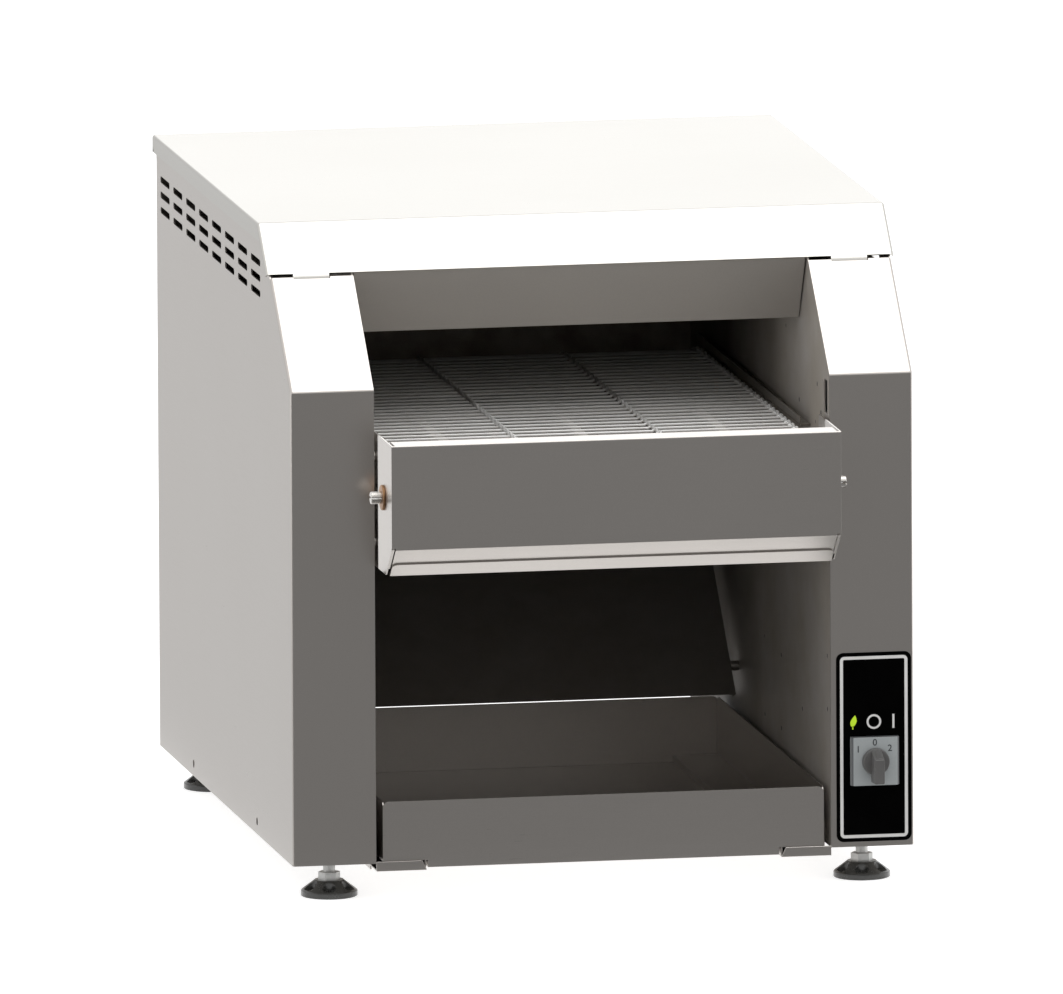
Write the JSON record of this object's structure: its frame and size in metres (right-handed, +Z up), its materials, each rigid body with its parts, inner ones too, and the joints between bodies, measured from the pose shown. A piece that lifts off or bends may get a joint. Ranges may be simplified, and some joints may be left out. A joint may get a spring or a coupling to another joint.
{
  "type": "conveyor toaster",
  "caption": "Countertop sheet-steel toaster with a wire belt running under a hinged hood, a chute, a pull-out collecting tray, a selector knob and levelling feet.",
  "frame": {"origin": "centre of the bounding box, on the surface that the feet stand on", "axes": "-Y is the front where bread is loaded, +X is the side with the selector knob, +Z is up"},
  "size_m": [0.6268, 0.829, 0.651],
  "materials": {
    "stainless_side": "brushed",
    "stainless_front": "brushed",
    "oven_steel": "dull, heat-darkened",
    "bright_steel": "bright",
    "heater_tube": "oxidised",
    "bronze": "turned",
    "ceramic": "glazed",
    "gearbox_alloy": "cast",
    "black_paint": "satin",
    "black_plastic": "matte",
    "label_film": "satin",
    "grey_plastic": "satin",
    "knob_plastic": "satin"
  },
  "bodies": {
    "cabinet": {"left_casing": "stainless_side", "right_casing": "stainless_side", "back_panel": "stainless_side", "oven_ceiling": "stainless_side", "left_guard_plate": "stainless_side", "right_guard_plate": "stainless_side", "front_guard": "stainless_front", "tray_runners": "stainless_front", "left_frame_wall": "stainless_front", "right_frame_wall": "stainless_front", "floor_channels": "stainless_front", "rear_shield": "oven_steel", "crumb_shield": "oven_steel", "chute": "oven_steel", "belt_slides": "oven_steel", "belt_cross_bars": "oven_steel", "belt_guides": "oven_steel", "upper_reflector": "bright_steel", "lower_reflector": "bright_steel", "conveyor_belt": "bright_steel", "back_panel_screws": "bright_steel", "chute_bosses": "bright_steel", "fixed_hinge_leaves": "bright_steel", "hinge_pins": "bright_steel", "guard_spacers": "bright_steel", "motor_standoffs": "bright_steel", "foot_inserts": "bright_steel", "upper_heaters": "heater_tube", "lower_heaters": "heater_tube", "idler_bushings": "bronze", "drive_bushings": "bronze", "heater_insulators": "ceramic", "terminal_block": "ceramic", "safety_thermostat": "ceramic", "gearbox": "gearbox_alloy", "motor": "black_paint", "switch_body": "black_plastic", "cable_gland": "black_plastic", "control_label": "label_film", "switch_plate": "grey_plastic"},
    "hood_cover": {"hood": "stainless_side", "visor": "stainless_front", "hood_hinge_leaves": "bright_steel"},
    "tray": {"collecting_tray": "stainless_front"},
    "drive_roller": {"drive_shaft": "bright_steel", "drive_sprockets": "bright_steel", "shaft_coupling": "bright_steel", "motor_shaft": "bright_steel"},
    "idler_roller": {"idler_shaft": "bright_steel", "idler_sprockets": "bright_steel"},
    "knob": {"selector_knob": "knob_plastic"},
    "front_left_foot": {"front_left_foot_base": "black_plastic", "front_left_foot_stud": "bright_steel"},
    "front_right_foot": {"front_right_foot_base": "black_plastic", "front_right_foot_stud": "bright_steel"},
    "rear_left_foot": {"rear_left_foot_base": "black_plastic", "rear_left_foot_stud": "bright_steel"},
    "rear_right_foot": {"rear_right_foot_base": "black_plastic", "rear_right_foot_stud": "bright_steel"}
  },
  "joints": [
    {"name": "hood_lift", "type": "hinge", "parent": "cabinet", "child": "hood_cover", "pos_m": [0, 0.4095, 0.6285], "axis": [-1, 0, 0], "range_deg": [0, 95]},
    {"name": "tray_pull", "type": "slide", "parent": "cabinet", "child": "tray", "axis": [0, -1, 0], "range_m": [0, 0.45]},
    {"name": "drive_turn", "type": "hinge", "parent": "cabinet", "child": "drive_roller", "pos_m": [0, 0.2495, 0.4056], "axis": [1, 0, 0], "continuous": true},
    {"name": "idler_turn", "type": "hinge", "parent": "cabinet", "child": "idler_roller", "pos_m": [0, -0.3705, 0.4056], "axis": [1, 0, 0], "continuous": true},
    {"name": "knob_turn", "type": "hinge", "parent": "cabinet", "child": "knob", "pos_m": [0.27, -0.3475, 0.1227], "axis": [0, -1, 0], "range_deg": [-60, 60]},
    {"name": "front_left_foot_level", "type": "slide", "parent": "cabinet", "child": "front_left_foot", "axis": [0, 0, 1], "range_m": [-0.006, 0.01]},
    {"name": "front_right_foot_level", "type": "slide", "parent": "cabinet", "child": "front_right_foot", "axis": [0, 0, 1], "range_m": [-0.006, 0.01]},
    {"name": "rear_left_foot_level", "type": "slide", "parent": "cabinet", "child": "rear_left_foot", "axis": [0, 0, 1], "range_m": [-0.006, 0.01]},
    {"name": "rear_right_foot_level", "type": "slide", "parent": "cabinet", "child": "rear_right_foot", "axis": [0, 0, 1], "range_m": [-0.006, 0.01]}
  ],
  "couplings": [
    {"joint": "idler_turn", "follows": "drive_turn", "ratio": 1}
  ]
}
